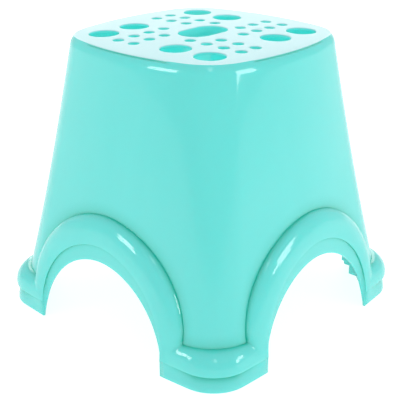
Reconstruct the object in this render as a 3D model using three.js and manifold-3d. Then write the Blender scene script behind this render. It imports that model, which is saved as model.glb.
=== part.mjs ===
// Shower stool: a one-piece moulded stool with an arch in each side and four non-slip pads under its feet.
// Millimetres, +Z up. The origin is on the floor, under the middle of the seat.
import * as THREE from 'three';
import { mergeVertices } from 'three/addons/utils/BufferGeometryUtils.js';
import Module from 'manifold-3d';

const wasm = await Module();
wasm.setup();

// ---------------------------------------------------------------- driving dimensions
const SEAT_HEIGHT = 240;          // crown of the seat above the floor
const WALL = 2.3;                 // thickness of the moulding
const PAD_STANDOUT = 0.6;         // how far the pads hold the rim off the floor

// The skirt's outline is a rounded square with bowed sides. half is from the axis to the middle of a side.
const SKIRT_FOOT = { half: 129.5, cornerRadius: 40, sideRadius: 2000 };   // at the floor
const SKIRT_TOP = { half: 95, cornerRadius: 44, sideRadius: 215 };        // at the height of the seat

const SEAT = { crown: 1.5, edgeRadius: 12, edgeAngle: 50 };     // domed top, rounded edge, where the round ends

// Each side's arch, measured on the rim's edge, and the band that hangs straight down from that edge.
const ARCH = { half: 70.4, rise: 72.5, squareness: 1.93 };
const BAND = { height: 14.5, inset: 1.3, footInset: 0.3 };
const RIM = { cornerRadius: 33.5, sideRadius: 1200, standoutFoot: 5.4, standoutCrown: 7.7 };

// The round bead between the skirt and the rim's edge: its width beside the arch, over it and over a foot.
const BEAD = { side: 15.9, crown: 22.9, foot: 16.8, squareness: 1.88, turn: 98 };

const HOLE_PITCH = 17.4;
const SMALL_HOLE = 9.4;           // diameters
const BIG_HOLE = 25;
const HOLE_START = { x: 14, y: -13.9 };     // the small hole nearest the slot, in each quarter
const SLOT = { halfLength: 23.6, halfWidth: 14.6, collarDepth: 9, collarWall: 2.2 };

const RIB = { offsets: [53, 63], thickness: 2, reach: 6, height: 32 };    // stacking ribs beside each arch

const WEB = { thickness: 2.5, setback: 6 };                               // the shelf in each foot
const PAD = { height: 4.6, width: 10, setback: 22, clearance: 0.6 };      // rubber strip under that shelf
const PEG = { radius: 2.5, height: 5, clearance: 0.3, from: 0.25 };        // from: place along the strip

// ---------------------------------------------------------------- mesh fineness
const ARCH_STEPS = 8;             // from the crown of an arch to its foot
const FOOT_STEPS = 3;             // from an arch to the corner
const HALF_SIDE = ARCH_STEPS + FOOT_STEPS;
const WALL_ROWS = [0.78, 0.48, 0.25, 0.1];
const BEAD_STEPS = 4;
const EDGE_STEPS = 2;
const SEAT_ROWS = [0.55];
const SIDE_SHARE = 0.6;           // part of an outline's parameter that the bowed side takes

const rad = THREE.MathUtils.degToRad;
const mix = THREE.MathUtils.lerp;

const RIM_Z = PAD_STANDOUT + BAND.height;
const CREASE_Z = RIM_Z + BEAD.foot;
const CREASE_HALF = ARCH.half + BEAD.side;
const CREASE_RISE = ARCH.rise + BEAD.crown - BEAD.foot;
const DRAFT = Math.atan((SKIRT_FOOT.half - SKIRT_TOP.half) / SEAT_HEIGHT);
const SEAT_EDGE_Z = SEAT_HEIGHT - SEAT.crown;
const EDGE_START_Z = SEAT_EDGE_Z - edgeRise(rad(SEAT.edgeAngle));

function edgeRise(angle) {
  return SEAT.edgeRadius * (Math.sin(angle) - Math.sin(DRAFT));
}

function edgeInset(angle) {
  return SEAT.edgeRadius * (Math.cos(DRAFT) - Math.cos(angle));
}

// ---------------------------------------------------------------- outlines
// An eighth of an outline runs from the middle of a side, s = 0, to the corner, s = 1. Its points are
// { u, v, angle }: u along the side, v out from the axis, angle of the outward normal away from v.
function corner(section) {
  const k = section.sideRadius - section.half;
  const gap = section.sideRadius - section.cornerRadius;
  const centre = (Math.sqrt(2 * gap * gap - k * k) - k) / 2;
  return { centre, start: Math.atan2(centre, centre + k) };
}

function outlinePoint(section, s) {
  const { centre, start } = corner(section);
  if (s <= SIDE_SHARE) {
    const angle = start * s / SIDE_SHARE;
    const u = section.sideRadius * Math.sin(angle);
    const v = section.half - section.sideRadius * (1 - Math.cos(angle));
    return { u, v, angle };
  }
  const angle = mix(start, Math.PI / 4, (s - SIDE_SHARE) / (1 - SIDE_SHARE));
  const u = centre + section.cornerRadius * Math.sin(angle);
  const v = centre + section.cornerRadius * Math.cos(angle);
  return { u, v, angle };
}

function parameterAt(section, u) {
  let low = 0;
  let high = 1;
  for (let step = 0; step < 40; step += 1) {
    const middle = (low + high) / 2;
    if (outlinePoint(section, middle).u < u) low = middle;
    else high = middle;
  }
  return (low + high) / 2;
}

function skirtSection(z) {
  const share = z / SEAT_HEIGHT;
  return {
    half: mix(SKIRT_FOOT.half, SKIRT_TOP.half, share),
    cornerRadius: mix(SKIRT_FOOT.cornerRadius, SKIRT_TOP.cornerRadius, share),
    sideRadius: 1 / mix(1 / SKIRT_FOOT.sideRadius, 1 / SKIRT_TOP.sideRadius, share),
  };
}

function rimSection(z) {
  const share = (z - RIM_Z) / ARCH.rise;
  const half = skirtSection(z).half + mix(RIM.standoutFoot, RIM.standoutCrown, share);
  return { half, cornerRadius: RIM.cornerRadius, sideRadius: RIM.sideRadius };
}

function shrink(section, inset) {
  return {
    half: section.half - inset,
    cornerRadius: section.cornerRadius - inset,
    sideRadius: section.sideRadius - inset,
  };
}

// ---------------------------------------------------------------- the shell's columns
// A column is one line down the shell, from the seat's middle to the rim. Arch columns end on an arch and
// foot columns on a foot. Each has its place on the seat's edge, on the crease over the bead and on the rim.
function archCurve(angle, half, rise, squareness) {
  const u = half * Math.max(Math.cos(angle), 0) ** (2 / squareness);
  const z = rise * Math.sin(angle) ** (2 / squareness);
  return { u, z };
}

function archColumn(step) {
  const angle = Math.PI / 2 * (1 - step / ARCH_STEPS);
  const edge = archCurve(angle, ARCH.half, ARCH.rise, ARCH.squareness);
  const crease = archCurve(angle, CREASE_HALF, CREASE_RISE, BEAD.squareness);
  const rimZ = RIM_Z + edge.z;
  const creaseZ = CREASE_Z + crease.z;
  const rim = outlinePoint(rimSection(rimZ), parameterAt(rimSection(rimZ), edge.u));
  return { rim, rimZ, creaseZ, creaseS: parameterAt(skirtSection(creaseZ), crease.u) };
}

function footColumn(step) {
  const share = step / FOOT_STEPS;
  const section = rimSection(RIM_Z);
  const rim = outlinePoint(section, mix(parameterAt(section, ARCH.half), 1, share));
  const creaseS = mix(parameterAt(skirtSection(CREASE_Z), CREASE_HALF), 1, share);
  return { rim, rimZ: RIM_Z, creaseZ: CREASE_Z, creaseS };
}

function column(step) {
  const place = step <= ARCH_STEPS ? archColumn(step) : footColumn(step - ARCH_STEPS);
  const away = Math.min(Math.abs(step - ARCH_STEPS) / 3, 1);
  return { ...place, seatS: step / HALF_SIDE, inset: mix(BAND.footInset, BAND.inset, away) };
}

// The outer surface of one column, from the seat's middle down to the rim's edge.
function outerPoints(place) {
  const points = [];
  for (const size of [0, ...SEAT_ROWS]) {
    const edge = outlinePoint(edgeSection(rad(SEAT.edgeAngle)), place.seatS);
    const z = SEAT_EDGE_Z + SEAT.crown * (1 - size * size);
    points.push(new THREE.Vector3(edge.u * size, edge.v * size, z));
  }
  for (let step = EDGE_STEPS; step > 0; step -= 1) {
    const angle = mix(DRAFT, rad(SEAT.edgeAngle), step / EDGE_STEPS);
    const edge = outlinePoint(edgeSection(angle), place.seatS);
    points.push(new THREE.Vector3(edge.u, edge.v, EDGE_START_Z + edgeRise(angle)));
  }
  for (const share of [1, ...WALL_ROWS]) {
    const z = mix(place.creaseZ, EDGE_START_Z, share);
    const turned = 1 - (1 - share) ** 2;
    const side = outlinePoint(skirtSection(z), mix(place.creaseS, place.seatS, turned));
    points.push(new THREE.Vector3(side.u, side.v, z));
  }
  points.push(...beadPoints(place));
  return points;
}

function edgeSection(angle) {
  return shrink(skirtSection(EDGE_START_Z), edgeInset(angle));
}

// The bead leaves the skirt square to it, turns over and meets the rim's edge going straight down.
function beadPoints(place) {
  const start = outlinePoint(skirtSection(place.creaseZ), place.creaseS);
  const from = new THREE.Vector3(start.u, start.v, place.creaseZ);
  const to = new THREE.Vector3(place.rim.u, place.rim.v, place.rimZ);
  const out = outward(place);
  const across = to.clone().sub(from);
  const rise = across.dot(out);
  const down = across.addScaledVector(out, -rise);
  const end = rad(BEAD.turn);
  const points = [];
  for (let step = 0; step <= BEAD_STEPS; step += 1) {
    const angle = end * step / BEAD_STEPS;
    const point = from.clone().addScaledVector(out, rise * Math.sin(angle) / Math.sin(end));
    points.push(point.addScaledVector(down, (1 - Math.cos(angle)) / (1 - Math.cos(end))));
  }
  return points;
}

function outward(place) {
  return new THREE.Vector3(Math.sin(place.rim.angle), Math.cos(place.rim.angle), 0);
}

// The band under the rim's edge: down its inside, across its bottom and up its outside.
function bandPoints(place) {
  const out = outward(place);
  const edge = new THREE.Vector3(place.rim.u, place.rim.v, place.rimZ);
  const face = edge.clone().addScaledVector(out, -place.inset);
  const back = face.clone().addScaledVector(out, -WALL);
  const drop = new THREE.Vector3(0, 0, -BAND.height);
  return [back, back.clone().add(drop), face.clone().add(drop), face];
}

// ---------------------------------------------------------------- the shell
function mirrored(points) {
  return points.map((point) => new THREE.Vector3(-point.x, point.y, point.z));
}

// All columns in order round the stool. A side's frame has u along +X and v along -Y for the front side.
function allColumns(eighth) {
  const side = [...eighth.slice(1).reverse().map(mirrored), ...eighth.slice(0, -1)];
  const columns = [];
  for (let turn = 0; turn < 4; turn += 1) {
    for (const points of side) {
      columns.push(points.map(({ x, y, z }) => turned(new THREE.Vector3(x, -y, z), turn)));
    }
  }
  return columns;
}

function turned(point, quarterTurns) {
  return point.applyAxisAngle(new THREE.Vector3(0, 0, 1), quarterTurns * Math.PI / 2);
}

// Steps every point of a grid of columns inward, square to the surface, by the wall's thickness.
function insideOf(columns) {
  const count = columns.length;
  return columns.map((points, index) => {
    const left = columns[(index + count - 1) % count];
    const right = columns[(index + 1) % count];
    return points.map((point, row) => {
      if (row === 0) return point.clone().setZ(point.z - WALL);
      const along = right[row].clone().sub(left[row]);
      const down = points[Math.min(row + 1, points.length - 1)].clone().sub(points[row - 1]);
      const normal = down.cross(along).normalize();
      return point.clone().addScaledVector(normal, -WALL);
    });
  });
}

// Each column closes on the axis at both ends: down the inside, across the rim and up the outside.
function latheOf(columns) {
  const rows = columns[0].length;
  const profile = columns[0].map((point, row) => new THREE.Vector2(row % (rows - 1) ? 1 : 0, -row));
  const geometry = new THREE.LatheGeometry(profile, columns.length);
  const position = geometry.getAttribute('position');
  for (let index = 0; index < position.count; index += 1) {
    const { x, y, z } = columns[Math.floor(index / rows) % columns.length][index % rows];
    position.setXYZ(index, x, y, z);
  }
  return geometry;
}

function shellGeometry() {
  const places = [];
  for (let step = 0; step <= HALF_SIDE; step += 1) places.push(column(step));
  const outer = allColumns(places.map(outerPoints));
  const band = allColumns(places.map(bandPoints));
  const inner = insideOf(outer);
  return latheOf(inner.map((points, index) => [...points, ...band[index], ...outer[index].reverse()]));
}

// ---------------------------------------------------------------- solids
function solidOf(geometry) {
  const bare = geometry.clone();
  bare.deleteAttribute('normal');
  bare.deleteAttribute('uv');
  const merged = mergeVertices(bare, 1e-5);
  const index = merged.getIndex().array;
  const triangles = [];
  for (let at = 0; at < index.length; at += 3) {
    const [a, b, c] = index.slice(at, at + 3);
    if (a !== b && b !== c && c !== a) triangles.push(a, b, c);
  }
  const vertProperties = new Float32Array(merged.getAttribute('position').array);
  const triVerts = new Uint32Array(triangles);
  return new wasm.Manifold(new wasm.Mesh({ numProp: 3, vertProperties, triVerts }));
}

function geometryOf(solid) {
  const { vertProperties, triVerts } = solid.getMesh();
  const geometry = new THREE.BufferGeometry();
  geometry.setAttribute('position', new THREE.BufferAttribute(vertProperties, 3));
  geometry.setIndex(new THREE.BufferAttribute(triVerts, 1));
  geometry.computeVertexNormals();
  return geometry;
}

function pin(x, y, bottom, top, radius, sides) {
  const geometry = new THREE.CylinderGeometry(radius, radius, top - bottom, sides);
  return solidOf(geometry.rotateX(Math.PI / 2).translate(x, y, (bottom + top) / 2));
}

function plate(shape, bottom, top) {
  const geometry = new THREE.ExtrudeGeometry(shape, { depth: top - bottom, bevelEnabled: false, curveSegments: 8 });
  return solidOf(geometry.translate(0, 0, bottom));
}

// ---------------------------------------------------------------- the seat's openings
function slotShape(margin) {
  const radius = SLOT.halfWidth + margin;
  const reach = SLOT.halfLength - SLOT.halfWidth;
  const shape = new THREE.Shape();
  shape.absarc(0, reach, radius, 0, Math.PI, false);
  shape.absarc(0, -reach, radius, Math.PI, 2 * Math.PI, false);
  return shape;
}

// One quarter's holes: two rows of small ones on a square grid, and two big ones a row and a half out.
function quarterHoles() {
  const holes = [];
  for (let across = 0; across < 4; across += 1) {
    for (let row = 0; row < 2; row += 1) {
      const beside = row === 0 && across === 0;
      const x = HOLE_START.x + HOLE_PITCH * across;
      const y = HOLE_START.y - HOLE_PITCH * row;
      if (!beside) holes.push({ x, y, radius: SMALL_HOLE / 2, sides: 8 });
    }
  }
  for (const across of [0.5, 2.5]) {
    const x = HOLE_START.x + HOLE_PITCH * across;
    const y = HOLE_START.y - HOLE_PITCH * 2.5;
    holes.push({ x, y, radius: BIG_HOLE / 2, sides: 14 });
  }
  return holes;
}

function seatCuts() {
  const bottom = SEAT_HEIGHT - 4 * SLOT.collarDepth;
  const top = SEAT_HEIGHT + WALL;
  let cuts = plate(slotShape(0), bottom, top);
  for (let turn = 0; turn < 4; turn += 1) {
    for (const { x, y, radius, sides } of quarterHoles()) {
      const place = turned(new THREE.Vector3(x, y, 0), turn);
      cuts = cuts.add(pin(place.x, place.y, SEAT_EDGE_Z - 3 * WALL, top, radius, sides));
    }
  }
  return cuts;
}

// ---------------------------------------------------------------- ribs, foot shelves and pads
function archHeight(u) {
  const share = (u / ARCH.half) ** ARCH.squareness;
  return PAD_STANDOUT + ARCH.rise * (1 - share) ** (1 / ARCH.squareness);
}

function ribs() {
  let all = null;
  for (const offset of RIB.offsets) {
    const bottom = archHeight(offset + RIB.thickness / 2) + WALL;
    const back = rimSection(bottom + BAND.height).half - BAND.inset - WALL * 1.5;
    const depth = RIB.reach + WALL;
    const box = new THREE.BoxGeometry(RIB.thickness, depth, RIB.height);
    box.translate(offset, -(back - depth / 2), bottom + RIB.height / 2);
    for (let turn = 0; turn < 4; turn += 1) {
      const rib = solidOf(box.clone().rotateZ(turn * Math.PI / 2));
      all = all ? all.add(rib) : rib;
    }
  }
  return all;
}

// A line along the foot's outline, stepped in by inset, from one arch's side round to the next.
function footLine(inset, setback) {
  const section = shrink(rimSection(RIM_Z), inset);
  const start = parameterAt(section, ARCH.half + setback);
  const steps = 2 * FOOT_STEPS;
  const points = [];
  for (let step = 0; step <= 2 * steps; step += 1) {
    const s = mix(start, 1, 1 - Math.abs(step / steps - 1));
    const { u, v } = outlinePoint(section, s);
    points.push(step <= steps ? new THREE.Vector2(u, -v) : new THREE.Vector2(v, -u));
  }
  return points;
}

const WEB_INSET = BAND.inset + WALL / 2;
const PAD_INSET = BAND.inset + WALL + PAD.clearance;

// Two pegs, one on each arm of a pad.
function pegs(radius, bottom, top) {
  const line = footLine(PAD_INSET + PAD.width / 2, PAD.setback);
  const first = line[Math.round((line.length - 1) * PEG.from)];
  const second = line[Math.round((line.length - 1) * (1 - PEG.from))];
  const one = pin(first.x, first.y, bottom, top, radius, 12);
  return one.add(pin(second.x, second.y, bottom, top, radius, 12));
}

function footShelf() {
  const shelf = plate(new THREE.Shape(footLine(WEB_INSET, WEB.setback)), PAD.height, PAD.height + WEB.thickness);
  return shelf.subtract(pegs(PEG.radius + PEG.clearance, 0, PAD.height + PEG.height));
}

function padGeometry() {
  const outside = footLine(PAD_INSET, PAD.setback);
  const inside = footLine(PAD_INSET + PAD.width, PAD.setback);
  const strip = plate(new THREE.Shape([...outside, ...inside.reverse()]), 0, PAD.height);
  return geometryOf(strip.add(pegs(PEG.radius, PAD.height / 2, PAD.height + PEG.height)));
}

// ---------------------------------------------------------------- assembly
function moulding() {
  const collar = plate(slotShape(SLOT.collarWall), SEAT_HEIGHT - SLOT.collarDepth, SEAT_HEIGHT - WALL / 2);
  let solid = solidOf(shellGeometry()).add(collar).subtract(seatCuts()).add(ribs());
  const shelf = geometryOf(footShelf());
  for (let turn = 0; turn < 4; turn += 1) {
    solid = solid.add(solidOf(shelf.clone().rotateZ(turn * Math.PI / 2)));
  }
  return geometryOf(solid);
}

function part(name, geometry, material) {
  const mesh = new THREE.Mesh(geometry, material);
  mesh.name = name;
  return mesh;
}

const stool = new THREE.Group();
const plastic = new THREE.MeshStandardMaterial({ color: 0x76dcd4, roughness: 0.3, metalness: 0 });
stool.add(part('stool_shell', moulding(), plastic));

const padNames = ['foot_pad_front_right', 'foot_pad_back_right', 'foot_pad_back_left', 'foot_pad_front_left'];
const pad = padGeometry();
padNames.forEach((name, turn) => {
  const rubber = new THREE.MeshStandardMaterial({ color: 0xb9c4c3, roughness: 0.85, metalness: 0 });
  const mesh = part(name, pad, rubber);
  mesh.rotation.z = turn * Math.PI / 2;
  stool.add(mesh);
});

export default stool;
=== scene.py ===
# Shower stool: one glossy mint moulding with a matt, pierced seat, and a rubber pad under each foot.
import math

import bmesh
import bpy
from mathutils import Matrix, Vector


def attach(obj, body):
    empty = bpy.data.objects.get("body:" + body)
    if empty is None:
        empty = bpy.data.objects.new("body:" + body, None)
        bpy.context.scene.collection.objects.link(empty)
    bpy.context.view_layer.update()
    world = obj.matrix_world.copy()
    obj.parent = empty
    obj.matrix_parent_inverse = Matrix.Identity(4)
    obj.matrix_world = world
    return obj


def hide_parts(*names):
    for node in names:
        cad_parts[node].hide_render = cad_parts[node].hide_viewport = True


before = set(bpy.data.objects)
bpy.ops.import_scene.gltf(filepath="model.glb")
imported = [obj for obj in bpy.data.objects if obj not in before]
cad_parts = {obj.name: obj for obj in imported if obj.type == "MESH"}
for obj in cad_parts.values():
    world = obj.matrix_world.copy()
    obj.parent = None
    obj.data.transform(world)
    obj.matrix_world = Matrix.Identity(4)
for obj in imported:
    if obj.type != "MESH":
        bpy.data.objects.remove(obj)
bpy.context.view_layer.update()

# ---------------------------------------------------------------- sizes, in millimetres
SEAT_HEIGHT = 240.0
WALL = 2.3
PAD_STANDOUT = 0.6

# A section is (half, corner radius, side radius): a rounded square with bowed sides.
SKIRT_FOOT = (129.5, 40.0, 2000.0)
SKIRT_TOP = (95.0, 44.0, 215.0)
RIM_CORNER = 33.5
RIM_SIDE = 1200.0
RIM_STANDOUT = (5.4, 7.7)

SEAT_CROWN = 1.5
DOME_RISE = 1.4                   # a little under the crown, to keep inside the CAD part's height
EDGE_RADIUS = 12.0
EDGE_ANGLE = math.radians(50)

ARCH_HALF = 70.4
ARCH_RISE = 72.5
ARCH_SQUARENESS = 1.93
BAND_HEIGHT = 14.5
BAND_INSET = 1.3
BAND_FOOT_INSET = 0.3
CORNER_INSET_SHARE = 0.3          # how much of the full inset the band has at a foot's corner
BAND_RECESS = 4.0                 # how much further in the band's top is at a foot's corner
RECESS_SPREAD = 0.45              # the recess is full from this share of the way to the corner

BEAD_SIDE = 15.9
BEAD_CROWN = 22.9
BEAD_FOOT = 16.8
BEAD_SQUARENESS = 1.88
BEAD_TURN = math.radians(98)

HOLE_PITCH = 17.4
SMALL_RADIUS = 4.7
BIG_RADIUS = 12.5
FIRST_HOLE = (14.0, -13.9)
HOLE_LIP = 0.7
HOLE_MARGIN = 1.6

SLOT_LENGTH = 47.2
SLOT_RADIUS = 14.6
COLLAR_DEPTH = 9.0
COLLAR_WALL = 2.2

PANEL_STEP = 1.5                  # how far the seat's panel stands above the ledge round it
PANEL_LIP = 0.45
PANEL_END = (40.0, 46.0)          # the step dies between these distances from a side's middle

RIB_OFFSETS = (53.0, 63.0)
RIB_THICKNESS = 2.0
RIB_REACH = 6.0
RIB_HEIGHT = 32.0

SHELF_THICKNESS = 2.5
SHELF_SETBACK = 6.0
PAD_HEIGHT = 4.6
PAD_WIDTH = 10.0
PAD_SETBACK = 22.0
PAD_CLEARANCE = 0.6
PEG_RADIUS = 2.5
PEG_HEIGHT = 5.0
PEG_CLEARANCE = 0.3
TREAD_DEPTH = 0.7
TREAD_BLOCKS = 14

# ---------------------------------------------------------------- fineness of the mesh
ARCH_STEPS = 30
FOOT_STEPS = 16
INSET_STEPS = 5                   # columns beside a foot over which the band's inset changes
HALF_SIDE = ARCH_STEPS + FOOT_STEPS
EDGE_STEPS = 8
WALL_SHARES = (0.97, 0.9, 0.8, 0.68, 0.56, 0.45, 0.34, 0.24, 0.16, 0.1, 0.055, 0.022, 0.006)
BEAD_STEPS = 18
LIP_TURNS = (0.0, 0.55, 1.05, math.pi / 2)
BAND_SHARES = (0.03, 0.1, 0.2, 0.3, 0.42, 0.55, 0.7, 0.85, 0.92)
COLUMN_LEAN = 0.25                # how far a wall's column beside a foot leans out as it rises
LEAN_HEIGHT = 40.0                # the height over which that lean fades
SIDE_SHARE = 0.6                  # part of an outline's parameter that the bowed side takes
GRID = 7.0                        # the seat's faces are cut along squares of this size
GRID_SHIFT = 0.37                 # keeps the squares' sides off the holes' own corners

RIM_Z = PAD_STANDOUT + BAND_HEIGHT
PAD_INSET = BAND_INSET + WALL + PAD_CLEARANCE
CREASE_Z = RIM_Z + BEAD_FOOT
CREASE_HALF = ARCH_HALF + BEAD_SIDE
CREASE_RISE = ARCH_RISE + BEAD_CROWN - BEAD_FOOT
DRAFT = math.atan((SKIRT_FOOT[0] - SKIRT_TOP[0]) / SEAT_HEIGHT)
SEAT_EDGE_Z = SEAT_HEIGHT - SEAT_CROWN
EDGE_START_Z = SEAT_EDGE_Z - EDGE_RADIUS * (math.sin(EDGE_ANGLE) - math.sin(DRAFT))
LEDGE_ANGLE = math.asin(math.sin(EDGE_ANGLE) - PANEL_STEP / EDGE_RADIUS)

# The moulding's material indices: its outside, its seat, and its inside with the holes' walls, the last a
# lighter copy of the plastic painted to glow.
PLASTIC = 0
SEAT_GRAIN = 1
PAINTED_GLOW_INSIDE = 2

CREASE_SHADE_CONTRAST = 2.3             # how fast the painted shade in a crease fades into the open surface


def mix(a, b, share):
    return a + (b - a) * share


def quarter_turns(count):
    return Matrix.Rotation(count * math.pi / 2, 3, "Z")


def smooth_step(low, high, value):
    share = min(max((value - low) / (high - low), 0), 1)
    return share * share * (3 - 2 * share)


# ---------------------------------------------------------------- outlines
def outline_point(section, s):
    """An outline's point and normal's angle, s from 0 at a side's middle to 1 at the corner."""
    half, corner_radius, side_radius = section
    k = side_radius - half
    gap = side_radius - corner_radius
    centre = (math.sqrt(2 * gap * gap - k * k) - k) / 2
    start = math.atan2(centre, centre + k)
    if s <= SIDE_SHARE:
        angle = start * s / SIDE_SHARE
        return side_radius * math.sin(angle), half - side_radius * (1 - math.cos(angle)), angle
    angle = mix(start, math.pi / 4, (s - SIDE_SHARE) / (1 - SIDE_SHARE))
    return centre + corner_radius * math.sin(angle), centre + corner_radius * math.cos(angle), angle


def parameter_at(section, u):
    low, high = 0.0, 1.0
    for _ in range(30):
        middle = (low + high) / 2
        if outline_point(section, middle)[0] < u:
            low = middle
        else:
            high = middle
    return (low + high) / 2


def skirt_section(z):
    share = z / SEAT_HEIGHT
    half = mix(SKIRT_FOOT[0], SKIRT_TOP[0], share)
    corner_radius = mix(SKIRT_FOOT[1], SKIRT_TOP[1], share)
    return half, corner_radius, 1 / mix(1 / SKIRT_FOOT[2], 1 / SKIRT_TOP[2], share)


def rim_section(z):
    standout = mix(*RIM_STANDOUT, (z - RIM_Z) / ARCH_RISE)
    return skirt_section(z)[0] + standout, RIM_CORNER, RIM_SIDE


def shrink(section, inset):
    return tuple(size - inset for size in section)


def edge_section(angle):
    return shrink(skirt_section(EDGE_START_Z), EDGE_RADIUS * (math.cos(DRAFT) - math.cos(angle)))


# ---------------------------------------------------------------- one column of the moulding
def arch_curve(angle, half, rise, squareness):
    u = half * max(math.cos(angle), 0) ** (2 / squareness)
    return u, rise * math.sin(angle) ** (2 / squareness)


def column(step):
    """Where a column crosses the crease and the rim. foot goes from 0 at an arch to 1 at the corner."""
    foot = max(step - ARCH_STEPS, 0) / FOOT_STEPS
    if foot == 0:
        angle = math.pi / 2 * (1 - step / ARCH_STEPS)
        u, rise = arch_curve(angle, ARCH_HALF, ARCH_RISE, ARCH_SQUARENESS)
        crease_u, crease_rise = arch_curve(angle, CREASE_HALF, CREASE_RISE, BEAD_SQUARENESS)
        rim_z = RIM_Z + rise
        crease_z = CREASE_Z + crease_rise
        rim = outline_point(rim_section(rim_z), parameter_at(rim_section(rim_z), u))
        crease = parameter_at(skirt_section(crease_z), crease_u)
    else:
        crease_u = CREASE_HALF
        rim_z = RIM_Z
        crease_z = CREASE_Z
        section = rim_section(RIM_Z)
        rim = outline_point(section, mix(parameter_at(section, ARCH_HALF), 1, foot))
        crease = mix(parameter_at(skirt_section(CREASE_Z), CREASE_HALF), 1, foot)
    away = min((ARCH_STEPS - step) / INSET_STEPS, 1) if foot == 0 else foot * CORNER_INSET_SHARE
    inset = mix(BAND_FOOT_INSET, BAND_INSET, away)
    recess = BAND_RECESS * smooth_step(0, RECESS_SPREAD, foot)
    return {"rim": rim, "rim_z": rim_z, "crease": crease, "crease_z": crease_z,
            "crease_u": crease_u, "foot": foot, "seat": min(step, ARCH_STEPS) / HALF_SIDE,
            "inset": inset, "recess": recess}


def on_edge(place, angle, inset=0.0, drop=0.0):
    """A point of the seat's rounded edge, moved in and down."""
    around = mix(place["seat"], 1, place["foot"])
    u, v, _ = outline_point(shrink(edge_section(angle), inset), around)
    z = EDGE_START_Z + EDGE_RADIUS * (math.sin(angle) - math.sin(DRAFT)) - drop
    return Vector((u, v, z))


def panel_points(place):
    """The lip of the seat's panel, the step down to its ledge, and the ledge out to the rounded edge."""
    step = 1 - smooth_step(*PANEL_END, on_edge(place, EDGE_ANGLE).x)
    moves = [((1 - math.sin(turn)) * PANEL_LIP, (1 - math.cos(turn)) * PANEL_LIP) for turn in LIP_TURNS]
    moves += [(0.0, PANEL_STEP * 0.75), (-0.08, PANEL_STEP - 0.12), (-0.2, PANEL_STEP)]
    stepped = [on_edge(place, EDGE_ANGLE, inset, drop) for inset, drop in moves]
    plain = [on_edge(place, EDGE_ANGLE, inset) for inset in (0.5, 0.32, 0.14, 0.0)]
    plain += [on_edge(place, mix(EDGE_ANGLE, LEDGE_ANGLE, share)) for share in (0.25, 0.5, 0.75)]
    points = [low.lerp(high, step) for low, high in zip(plain, stepped)]
    return points + [on_edge(place, LEDGE_ANGLE)]


def wall_parameter(place, share, z):
    """The parameter that a wall's column has at a height. It starts upright, and leans out beside an arch."""
    rise = z - place["crease_z"]
    lean = COLUMN_LEAN * (place["crease_u"] / CREASE_HALF) ** 6
    u = place["crease_u"] + lean * rise * math.exp(-rise / LEAN_HEIGHT)
    start = parameter_at(skirt_section(z), u)
    return mix(mix(start, place["seat"], smooth_step(0, 1, share)), 1, place["foot"])


def wall_points(place, top_angle):
    angles = [mix(top_angle, DRAFT, step / EDGE_STEPS) for step in range(1, EDGE_STEPS + 1)]
    points = [on_edge(place, angle) for angle in angles]
    for share in (*WALL_SHARES, 0.0):
        z = mix(place["crease_z"], EDGE_START_Z, share)
        u, v, _ = outline_point(skirt_section(z), wall_parameter(place, share, z))
        points.append(Vector((u, v, z)))
    return points


def outward(place):
    return Vector((math.sin(place["rim"][2]), math.cos(place["rim"][2]), 0))


def bead_points(place):
    """The bead leaves the wall square to it and turns over to meet the rim's edge."""
    u, v, _ = outline_point(skirt_section(place["crease_z"]), place["crease"])
    start = Vector((u, v, place["crease_z"]))
    across = Vector((place["rim"][0], place["rim"][1], place["rim_z"])) - start
    out = outward(place)
    rise = across.dot(out)
    down = across - out * rise
    points = []
    for step in range(1, BEAD_STEPS + 1):
        angle = BEAD_TURN * step / BEAD_STEPS
        lift = out * (rise * math.sin(angle) / math.sin(BEAD_TURN))
        points.append(start + lift + down * ((1 - math.cos(angle)) / (1 - math.cos(BEAD_TURN))))
    return points


def band_points(place):
    """Under the rim's edge: in along the ledge, down the band, across its foot and up its back."""
    out = outward(place)
    edge = Vector((place["rim"][0], place["rim"][1], place["rim_z"]))
    inset = place["inset"]
    recess = place["recess"]
    lip = min(0.3, inset / 2)
    face = [(inset + recess * (1 - share) ** 2, BAND_HEIGHT * share) for share in BAND_SHARES]
    moves = [(0.06, 0.0), (lip, 0.32), (face[0][0] - 0.1, 0.45), (face[0][0], 0.62), *face[1:]]
    moves += [(inset, BAND_HEIGHT - 0.7), (inset + 0.08, BAND_HEIGHT - 0.35)]
    moves += [(inset + 0.3, BAND_HEIGHT - 0.08), (inset + 0.6, BAND_HEIGHT)]
    moves += [(inset + WALL - 0.5, BAND_HEIGHT), (inset + WALL, BAND_HEIGHT - 0.5)]
    moves += [(inward + WALL, drop) for inward, drop in face[::-3]]
    return [edge - out * inward - Vector((0, 0, drop)) for inward, drop in moves]


def all_round(eighth):
    """Every column in order round the stool, from those of one eighth."""
    side = [[Vector((-p.x, p.y, p.z)) for p in points] for points in reversed(eighth[1:])]
    side += eighth[:-1]
    columns = []
    for turn in range(4):
        spin = quarter_turns(turn)
        columns += [[spin @ Vector((p.x, -p.y, p.z)) for p in points] for points in side]
    return columns


def stepped_in(columns, depth):
    """Moves every point of the columns inward, square to the surface that they make."""
    count = len(columns)
    moved = []
    for index, points in enumerate(columns):
        left = columns[index - 1]
        right = columns[(index + 1) % count]
        inner = []
        for row, point in enumerate(points):
            along = right[row] - left[row]
            down = points[min(row + 1, len(points) - 1)] - points[max(row - 1, 0)]
            inner.append(point - down.cross(along).normalized() * depth)
        moved.append(inner)
    return moved


# ---------------------------------------------------------------- rings of a mesh
def first_ring(mesh, points):
    """A closed ring of vertices, in order."""
    ring = bmesh.ops.create_circle(mesh, segments=len(points), radius=1.0)["verts"][:1]
    while len(ring) < len(points):
        ring.append(next(v for e in ring[-1].link_edges if (v := e.other_vert(ring[-1])) not in ring[-2:]))
    for vertex, point in zip(ring, points):
        vertex.co = point
    return ring


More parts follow.
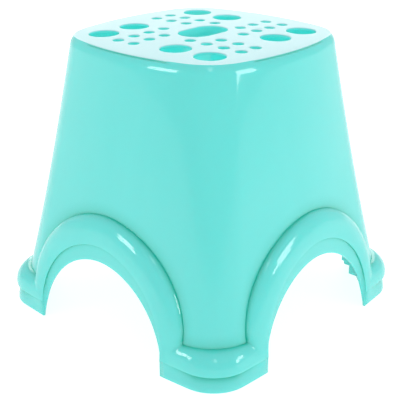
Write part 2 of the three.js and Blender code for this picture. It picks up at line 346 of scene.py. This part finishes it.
def next_ring(mesh, ring, points, material=PLASTIC):
    """Extrudes a ring of vertices to new places."""
    made = bmesh.ops.extrude_edge_only(mesh, edges=ring_edges(mesh, ring))["geom"]
    fresh = {item for item in made if isinstance(item, bmesh.types.BMVert)}
    for face in (item for item in made if isinstance(item, bmesh.types.BMFace)):
        face.material_index = material
    after = [next(e.other_vert(v) for e in v.link_edges if e.other_vert(v) in fresh) for v in ring]
    for vertex, point in zip(after, points):
        vertex.co = point
    return after


def ring_edges(mesh, ring):
    return [mesh.edges.get((ring[at - 1], ring[at])) for at in range(len(ring))]


def sharpen(mesh, ring):
    for edge in ring_edges(mesh, ring):
        edge.smooth = False


# ---------------------------------------------------------------- the seat
def seat_height_at(x, y):
    """The domed seat's height."""
    u, v = sorted((abs(x), abs(y)))
    section = edge_section(EDGE_ANGLE)
    low, high = 0.0, 1.0
    for _ in range(16):
        middle = (low + high) / 2
        across, out, _ = outline_point(section, middle)
        if across * v < out * u:
            low = middle
        else:
            high = middle
    size = v / outline_point(section, low)[1]
    return SEAT_EDGE_Z + DOME_RISE * (1 - size * size)


def on_seat(x, y, drop=0.0):
    return Vector((x, y, seat_height_at(x, y) - drop))


def hole_places():
    """Every round hole as (x, y, radius, sides)."""
    quarter = []
    for across in range(4):
        for row in range(2):
            if row or across:
                x = FIRST_HOLE[0] + HOLE_PITCH * across
                y = FIRST_HOLE[1] - HOLE_PITCH * row
                quarter.append((x, y, SMALL_RADIUS, 28))
    for across in (0.5, 2.5):
        x = FIRST_HOLE[0] + HOLE_PITCH * across
        y = FIRST_HOLE[1] - HOLE_PITCH * 2.5
        quarter.append((x, y, BIG_RADIUS, 56))
    places = []
    for turn in range(4):
        spin = Matrix.Rotation(turn * math.pi / 2, 2)
        places += [(*(spin @ Vector((x, y))), radius, sides) for x, y, radius, sides in quarter]
    return places


def circle(x, y, radius, sides, stretch=0.0):
    """Points round a circle, or round a slot where stretch parts its two halves."""
    points = []
    for at in range(sides):
        angle = 2 * math.pi * (at + 0.5) / sides
        shift = math.copysign(stretch, math.sin(angle))
        points.append((x + radius * math.cos(angle), y + radius * math.sin(angle) + shift))
    return points


def opening(mesh, x, y, radius, sides, stretch=0.0):
    """A hole's rounded lip and wall, with a collar if it is a slot. Returns its first and last rings."""
    def outline(margin):
        return circle(x, y, radius + margin, sides, stretch)

    lips = [(HOLE_LIP, 0.0)]
    for turn in (0.4, 0.8, 1.2, math.pi / 2):
        lips.append((HOLE_LIP * (1 - math.sin(turn)), HOLE_LIP * (1 - math.cos(turn))))
    outer = ring = first_ring(mesh, [on_seat(*point) for point in outline(HOLE_MARGIN)])
    for margin, drop in lips:
        ring = next_ring(mesh, ring, [on_seat(*point, drop) for point in outline(margin)], SEAT_GRAIN)
    if stretch:
        bottom = SEAT_HEIGHT - COLLAR_DEPTH
        stops = [(0.0, bottom + 4), (0.0, bottom + 0.5), (0.3, bottom + 0.12), (0.6, bottom)]
        stops += [(COLLAR_WALL - 0.4, bottom), (COLLAR_WALL, bottom + 0.4)]
        for margin, z in stops:
            ring = next_ring(mesh, ring, [Vector((*point, z)) for point in outline(margin)], PAINTED_GLOW_INSIDE)
        foot = outline(COLLAR_WALL)
    else:
        ring = next_ring(mesh, ring, [on_seat(*point, WALL - 0.3) for point in outline(0)], PAINTED_GLOW_INSIDE)
        foot = outline(0.3)
    return outer, next_ring(mesh, ring, [on_seat(*point, WALL) for point in foot], PAINTED_GLOW_INSIDE)


def fill_between(mesh, loops):
    edges = [edge for ring in loops for edge in ring_edges(mesh, ring)]
    made = bmesh.ops.triangle_fill(mesh, use_beauty=True, use_dissolve=False, edges=edges)["geom"]
    return [item for item in made if isinstance(item, bmesh.types.BMFace)]


def cut_in_squares(mesh, faces):
    """Cuts the seat's long triangles along a square grid, so that it can follow the dome."""
    parts = set(faces)
    for face in faces:
        parts |= set(face.edges) | set(face.verts)
    parts = list(parts)
    reach = int(SKIRT_TOP[0] / GRID)
    for axis in (Vector((1, 0, 0)), Vector((0, 1, 0))):
        for step in range(-reach, reach + 1):
            where = axis * (step + GRID_SHIFT) * GRID
            cut = bmesh.ops.bisect_plane(mesh, geom=parts, dist=0.001, plane_co=where, plane_no=axis)
            parts = cut["geom"]
    return {item for item in parts if isinstance(item, bmesh.types.BMFace)}


# ---------------------------------------------------------------- the moulding
def skin(mesh):
    """The moulding's outside and inside, from the seat's edge to the rim. Returns the ring at each end."""
    places = [column(step) for step in range(HALF_SIDE + 1)]
    panel = all_round([panel_points(place) for place in places])
    outer = all_round([wall_points(place, LEDGE_ANGLE) + bead_points(place) for place in places])
    band = all_round([band_points(place) for place in places])
    plain = all_round([
        [on_edge(place, EDGE_ANGLE), *wall_points(place, EDGE_ANGLE)[1::2], *bead_points(place)[1::2]]
        for place in places
    ])
    inner = stepped_in(plain, WALL)
    seat = [Vector((p[0].x * 0.985, p[0].y * 0.985, 0)) for p in panel]
    seat = [on_seat(p.x, p.y) for p in seat]
    top = ring = first_ring(mesh, seat)
    for row in range(4):
        ring = next_ring(mesh, ring, [points[row] for points in panel], SEAT_GRAIN)
    crease = EDGE_STEPS + len(WALL_SHARES)
    for columns in ([points[4:] for points in panel], outer, band):
        for row in range(len(columns[0])):
            ring = next_ring(mesh, ring, [points[row] for points in columns])
            if columns is outer and row == crease:
                sharpen(mesh, ring)
    for row in reversed(range(len(inner[0]))):
        ring = next_ring(mesh, ring, [points[row] for points in inner], PAINTED_GLOW_INSIDE)
    ceiling = [Vector((p[0].x * 0.98, p[0].y * 0.98, SEAT_EDGE_Z - WALL)) for p in inner]
    return top, next_ring(mesh, ring, ceiling, PAINTED_GLOW_INSIDE)


def add_ribs(mesh):
    """Stacking ribs inside each wall, beside its arch."""
    for offset in RIB_OFFSETS:
        share = ((offset + RIB_THICKNESS / 2) / ARCH_HALF) ** ARCH_SQUARENESS
        bottom = PAD_STANDOUT + ARCH_RISE * (1 - share) ** (1 / ARCH_SQUARENESS) + WALL
        back = rim_section(bottom + BAND_HEIGHT)[0] - BAND_INSET - WALL * 1.5
        depth = RIB_REACH + WALL
        for turn in range(4):
            rib = bmesh.ops.create_cube(mesh, size=1.0)["verts"]
            bmesh.ops.scale(mesh, vec=(RIB_THICKNESS, depth, RIB_HEIGHT), verts=rib)
            bmesh.ops.translate(mesh, vec=(offset, depth / 2 - back, bottom + RIB_HEIGHT / 2), verts=rib)
            edges = list({edge for vertex in rib for edge in vertex.link_edges})
            made = bmesh.ops.bevel(mesh, geom=edges, offset=0.4, offset_type="OFFSET", affect="EDGES",
                                   segments=2, profile=0.5, material=-1)
            bmesh.ops.rotate(mesh, matrix=quarter_turns(turn), verts=made["verts"])


def foot_point(inset, setback, t):
    """A point of a foot's outline, stepped in. t goes from -1 by one arch to 1 by the next."""
    section = shrink(rim_section(RIM_Z), inset)
    start = parameter_at(section, ARCH_HALF + setback)
    u, v, _ = outline_point(section, mix(start, 1, 1 - abs(t)))
    return Vector((u, -v, 0)) if t <= 0 else Vector((v, -u, 0))


def peg_places():
    return [foot_point(PAD_INSET + PAD_WIDTH / 2, PAD_SETBACK, t) for t in (-0.5, 0.5)]


def add_foot_shelves(mesh):
    """The shelf in each foot that a pad sits under, with its peg holes."""
    line = [foot_point(BAND_INSET + WALL / 2, SHELF_SETBACK, step / 12) for step in range(-12, 13)]
    for turn in range(4):
        spin = quarter_turns(turn)
        loops = [first_ring(mesh, [spin @ (p + Vector((0, 0, PAD_HEIGHT))) for p in line])]
        for place in peg_places():
            ring = circle(place.x, place.y, PEG_RADIUS + PEG_CLEARANCE, 20)
            loops.append(first_ring(mesh, [spin @ Vector((*p, PAD_HEIGHT)) for p in ring]))
        faces = fill_between(mesh, loops)
        made = bmesh.ops.extrude_face_region(mesh, geom=faces, use_keep_orig=True)["geom"]
        lifted = [item for item in made if isinstance(item, bmesh.types.BMVert)]
        bmesh.ops.translate(mesh, vec=(0, 0, SHELF_THICKNESS), verts=lifted)


def finished(mesh, name, materials):
    """Merges doubles, turns the faces outward, brings millimetres to metres and makes the object."""
    bmesh.ops.remove_doubles(mesh, verts=mesh.verts, dist=0.005)
    bmesh.ops.recalc_face_normals(mesh, faces=mesh.faces)
    bmesh.ops.scale(mesh, vec=(0.001, 0.001, 0.001), verts=mesh.verts)
    for face in mesh.faces:
        face.smooth = True
    data = bpy.data.meshes.new(name)
    mesh.to_mesh(data)
    mesh.free()
    for material in materials:
        data.materials.append(material)
    piece = bpy.data.objects.new(name, data)
    bpy.context.scene.collection.objects.link(piece)
    return piece


def make_moulding(materials):
    mesh = bmesh.new()
    rings = [skin(mesh)]
    rings += [opening(mesh, *place) for place in hole_places()]
    rings.append(opening(mesh, 0, 0, SLOT_RADIUS, 80, SLOT_LENGTH / 2 - SLOT_RADIUS))
    above, below = zip(*rings)
    deck = cut_in_squares(mesh, fill_between(mesh, above))
    for vertex in {vertex for face in deck for vertex in face.verts}:
        vertex.co.z = seat_height_at(vertex.co.x, vertex.co.y)
    for face in deck:
        face.material_index = SEAT_GRAIN
    for face in fill_between(mesh, below):
        face.material_index = PAINTED_GLOW_INSIDE
    add_ribs(mesh)
    add_foot_shelves(mesh)
    return finished(mesh, "moulding", materials)


# ---------------------------------------------------------------- the pads
def pad_section(t, groove):
    """The pad's rounded cross-section at t, its tread lifted by groove."""
    near = foot_point(PAD_INSET, PAD_SETBACK, t)
    across = (foot_point(PAD_INSET + PAD_WIDTH, PAD_SETBACK, t) - near).normalized()
    stops = [(0.0, 0.8), (0.25, 0.25 + groove / 2), (0.8, groove)]
    stops += [(PAD_WIDTH - 0.8, groove), (PAD_WIDTH - 0.25, 0.25 + groove / 2), (PAD_WIDTH, 0.8)]
    stops += [(PAD_WIDTH, PAD_HEIGHT - 0.5), (PAD_WIDTH - 0.5, PAD_HEIGHT)]
    stops += [(0.5, PAD_HEIGHT), (0.0, PAD_HEIGHT - 0.5)]
    return [near + across * along + Vector((0, 0, z)) for along, z in stops]


def add_peg(mesh, place):
    low, high = PAD_HEIGHT / 2, PAD_HEIGHT + PEG_HEIGHT
    peg = bmesh.ops.create_cone(mesh, cap_ends=True, segments=24, radius1=PEG_RADIUS, radius2=PEG_RADIUS,
                                depth=high - low)["verts"]
    bmesh.ops.translate(mesh, vec=(place.x, place.y, (low + high) / 2), verts=peg)
    top = [v for v in peg if v.co.z > (low + high) / 2]
    edges = [e for e in {e for v in top for e in v.link_edges} if all(v in top for v in e.verts)]
    bmesh.ops.bevel(mesh, geom=edges, offset=0.6, offset_type="OFFSET", affect="EDGES",
                    segments=3, profile=0.5, material=-1)


def make_pad(name, turn, materials):
    """A rubber strip that follows the foot, with grooves across its tread and two pegs."""
    mesh = bmesh.new()
    stops = []
    for block in range(TREAD_BLOCKS):
        for share, groove in ((0.0, 0.0), (0.55, 0.0), (0.65, TREAD_DEPTH), (0.9, TREAD_DEPTH)):
            stops.append((2 * (block + share) / TREAD_BLOCKS - 1, groove))
    stops.append((1.0, 0.0))
    ring = first = first_ring(mesh, pad_section(*stops[0]))
    for stop in stops[1:]:
        ring = next_ring(mesh, ring, pad_section(*stop))
    for end in (first, ring):
        bmesh.ops.contextual_create(mesh, geom=ring_edges(mesh, end))
    for place in peg_places():
        add_peg(mesh, place)
    bmesh.ops.rotate(mesh, matrix=quarter_turns(turn), verts=mesh.verts)
    return finished(mesh, name, materials)


# ---------------------------------------------------------------- shader maths
class Value:
    """A node's output. Sums and products of values add their own maths nodes."""

    def __init__(self, finish, socket):
        self.finish = finish
        self.socket = socket

    def joined(self, operation, first, second):
        return self.finish.node("ShaderNodeMath", {"operation": operation}, {0: first, 1: second})

    def __add__(self, other):
        return self.joined("ADD", self, other)

    def __sub__(self, other):
        return self.joined("SUBTRACT", self, other)

    def __rsub__(self, other):
        return self.joined("SUBTRACT", other, self)

    def __mul__(self, other):
        return self.joined("MULTIPLY", self, other)

    __radd__ = __add__
    __rmul__ = __mul__


class Finish:
    """A material round one Principled shader, whose constant sockets are given by name."""

    def __init__(self, name, constants):
        self.material = bpy.data.materials.new(name)
        self.material.use_nodes = True
        self.tree = self.material.node_tree
        self.tree.nodes.clear()
        self.surface = self.tree.nodes.new("ShaderNodeBsdfPrincipled")
        output = self.tree.nodes.new("ShaderNodeOutputMaterial")
        self.tree.links.new(self.surface.outputs[0], output.inputs["Surface"])
        for socket, value in constants.items():
            self.surface.inputs[socket].default_value = value

    def node(self, kind, settings, inputs, output=0):
        """One node: its settings, then the values or links of its sockets."""
        made = self.tree.nodes.new(kind)
        for name, value in settings.items():
            setattr(made, name, value)
        for socket, value in inputs.items():
            self.feed(made.inputs[socket], value)
        return Value(self, made.outputs[output])

    def feed(self, socket, value):
        if isinstance(value, Value):
            self.tree.links.new(value.socket, socket)
        else:
            socket.default_value = value

    def place(self, scale):
        """Object coordinates, stretched by a scale."""
        where = self.node("ShaderNodeTexCoord", {}, {}, "Object")
        return self.node("ShaderNodeMapping", {}, {"Vector": where, "Scale": scale})

    def noise(self, scale, size, detail=2.0, distortion=0.0):
        inputs = {"Vector": self.place(scale), "Scale": size, "Detail": detail, "Distortion": distortion}
        return self.node("ShaderNodeTexNoise", {}, inputs, "Fac")

    def grains(self, size):
        return self.node("ShaderNodeTexVoronoi", {"feature": "SMOOTH_F1"},
                         {"Vector": self.place((1, 1, 1)), "Scale": size}, "Distance")

    def painted_shade_mask(self, distance):
        """The mask for painted shade in creases: 1 in the open, and 0 or less in a tight crease. Only the
        piece itself counts, not the floor.
        """
        open_share = self.node("ShaderNodeAmbientOcclusion", {"samples": 8, "only_local": True},
                               {"Distance": distance}, "AO")
        return open_share * CREASE_SHADE_CONTRAST - (CREASE_SHADE_CONTRAST - 1)

    def colours(self, share, first, second):
        return self.node("ShaderNodeMix", {"data_type": "RGBA"}, {0: share, 6: first, 7: second}, 2)

    def bump(self, height, strength, distance):
        self.feed(self.surface.inputs["Normal"], self.node(
            "ShaderNodeBump", {}, {"Height": height, "Strength": strength, "Distance": distance}))

    def show(self, socket, value):
        self.feed(self.surface.inputs[socket], value)


def glossy_plastic(name, first, second, crease_shade, travel):
    """Glossy polypropylene: faint melt flow, painted shade in creases, and light inside the wall."""
    finish = Finish(name, {
        "IOR": 1.49, "Specular IOR Level": 0.8, "Subsurface Weight": 1.0,
        "Subsurface Radius": (0.35, 1.0, 0.95), "Subsurface Scale": travel})
    flow = finish.noise((1, 1, 0.35), 16.0, 3.0, 0.8)
    peel = finish.noise((1, 1, 1), 420.0, 2.0)
    surface = finish.colours(flow, first, second)
    # Painted shade: in a crease the colour turns to the darker teal given for it.
    finish.show("Base Color", finish.colours(finish.painted_shade_mask(0.012), crease_shade, surface))
    finish.show("Roughness", flow * 0.04 + peel * 0.02 + 0.04)
    finish.bump(peel + flow * 0.5, 0.05, 0.0001)
    return finish.material


def matt_seat():
    """The seat's fine matt grain, in a tone paler than the gloss round it that is partly its own and partly
    painted sheen, with painted shade in its tight corners.
    """
    finish = Finish("matt_grained_polypropylene", {
        "IOR": 1.49, "Subsurface Weight": 0.3, "Subsurface Radius": (0.6, 1.0, 0.95),
        "Subsurface Scale": 0.004, "Specular IOR Level": 0.8})
    cloud = finish.noise((1, 1, 1), 30.0, 3.0)
    pits = finish.grains(1300.0)
    grain = finish.noise((1, 1, 1), 2200.0, 3.0)
    # Painted sheen in part: the seat's tone is paler than the gloss partly to stand in for the sheen on its
    # top.
    surface = finish.colours(cloud, (0.37, 0.68, 0.71, 1), (0.41, 0.71, 0.74, 1))
    # Painted shade: a darker teal where the seat's corners are tight.
    finish.show("Base Color", finish.colours(finish.painted_shade_mask(0.006), (0.02, 0.5, 0.42, 1), surface))
    finish.show("Roughness", cloud * 0.06 + grain * 0.08 + 0.36)
    finish.bump(pits * 0.6 + grain, 0.25, 0.00003)
    return finish.material


def pad_rubber():
    """Soft grey rubber with a fine moulded grain and paler rubbed patches."""
    finish = Finish("pad_rubber", {"IOR": 1.5})
    rub = finish.noise((1, 1, 1), 90.0, 4.0)
    grain = finish.noise((1, 1, 1), 2600.0, 3.0)
    finish.show("Base Color", finish.colours(rub, (0.42, 0.50, 0.49, 1), (0.52, 0.60, 0.59, 1)))
    finish.show("Roughness", rub * 0.15 + grain * 0.1 + 0.62)
    finish.bump(grain + rub * 0.6, 0.4, 0.0002)
    return finish.material


# ---------------------------------------------------------------- the studio
def white_floor():
    """A pale lit table top."""
    finish = Finish("lit_table", {"Emission Strength": 0.85, "IOR": 1.2, "Roughness": 0.6})
    cloud = finish.noise((1, 1, 1), 3.0)
    finish.show("Base Color", finish.colours(cloud, (0.32, 0.32, 0.32, 1), (0.34, 0.34, 0.34, 1)))
    finish.show("Emission Color", finish.colours(cloud, (0.99, 1, 1, 1), (1, 1, 1, 1)))
    return finish.material


def make_floor():
    mesh = bmesh.new()
    bmesh.ops.create_circle(mesh, cap_ends=True, segments=96, radius=6.0)
    data = bpy.data.meshes.new("floor")
    mesh.to_mesh(data)
    mesh.free()
    data.materials.append(white_floor())
    floor = bpy.data.objects.new("floor", data)
    bpy.context.scene.collection.objects.link(floor)


def softbox(name, azimuth, elevation, distance, size, brightness):
    """A rectangular light that faces the stool, as bright to look at as its size and power make it."""
    lamp = bpy.data.lights.new(name, "AREA")
    lamp.shape = "RECTANGLE"
    lamp.size, lamp.size_y = size
    lamp.energy = brightness * math.pi * size[0] * size[1]
    light = bpy.data.objects.new(name, lamp)
    light.location = round_the_axis(azimuth, elevation, distance, 0.12)
    light.rotation_euler = (Vector((0, 0, 0.12)) - light.location).to_track_quat("-Z", "Y").to_euler()
    bpy.context.scene.collection.objects.link(light)


def room_light(strength):
    world = bpy.data.worlds.new("room")
    world.use_nodes = True
    world.node_tree.nodes["Background"].inputs["Color"].default_value = (1, 1, 1, 1)
    world.node_tree.nodes["Background"].inputs["Strength"].default_value = strength
    bpy.context.scene.world = world


def round_the_axis(azimuth, elevation, distance, height):
    """A place round the stool's axis. Azimuth 0 is in front, along -Y, and 90 is on the right."""
    turn, tilt = math.radians(azimuth), math.radians(elevation)
    flat = math.cos(tilt) * distance
    return Vector((math.sin(turn) * flat, -math.cos(turn) * flat, math.sin(tilt) * distance + height))


def make_camera():
    lens = bpy.data.cameras.new("camera")
    lens.lens = 82.36
    lens.sensor_width = 36.0
    camera = bpy.data.objects.new("camera", lens)
    camera.location = round_the_axis(41.41, 20.89, 0.79985, 0.12)
    aim = Vector((-0.00188, -0.00166, 0.08897))
    camera.rotation_euler = (aim - camera.location).to_track_quat("-Z", "Y").to_euler()
    bpy.context.scene.collection.objects.link(camera)
    bpy.context.scene.camera = camera


# ---------------------------------------------------------------- assembly
def assemble():
    # The fourth colour of each plastic is painted shade for its creases.
    plastic = glossy_plastic("gloss_polypropylene", (0.115, 0.68, 0.645, 1), (0.135, 0.71, 0.68, 1),
                             (0.005, 0.5, 0.38, 1), 0.0025)
    # A lighter copy of the plastic with a longer subsurface travel: its paler colours are painted glow,
    # standing in for light passing through the walls.
    painted_glow_plastic = glossy_plastic("painted_glow_polypropylene", (0.18, 0.82, 0.78, 1), (0.2, 0.85, 0.81, 1),
                          (0.09, 0.76, 0.7, 1), 0.006)
    seat, rubber = matt_seat(), pad_rubber()
    moulding = make_moulding([plastic, seat, painted_glow_plastic])
    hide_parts("stool_shell")
    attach(moulding, "root")
    for turn, corner in enumerate(("front_right", "back_right", "back_left", "front_left")):
        pad = make_pad("pad_" + corner, turn, [rubber])
        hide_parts("foot_pad_" + corner)
        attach(pad, "root")


assemble()
make_floor()
make_camera()
room_light(0.81)
softbox("back_panel", 221.4, 19, 1.7, (1.7, 0.8), 2.0)
softbox("left_window_wide", 343.0, 20, 1.25, (0.22, 0.36), 5.5)
softbox("left_window_narrow", 335.4, 20, 1.25, (0.07, 0.36), 5.5)
softbox("right_window", 104, 16, 1.3, (0.44, 0.45), 4.6)
softbox("front_lamp", 47, 50, 1.4, (0.16, 0.6), 1.6)
bpy.context.scene.view_settings.view_transform = "Standard"
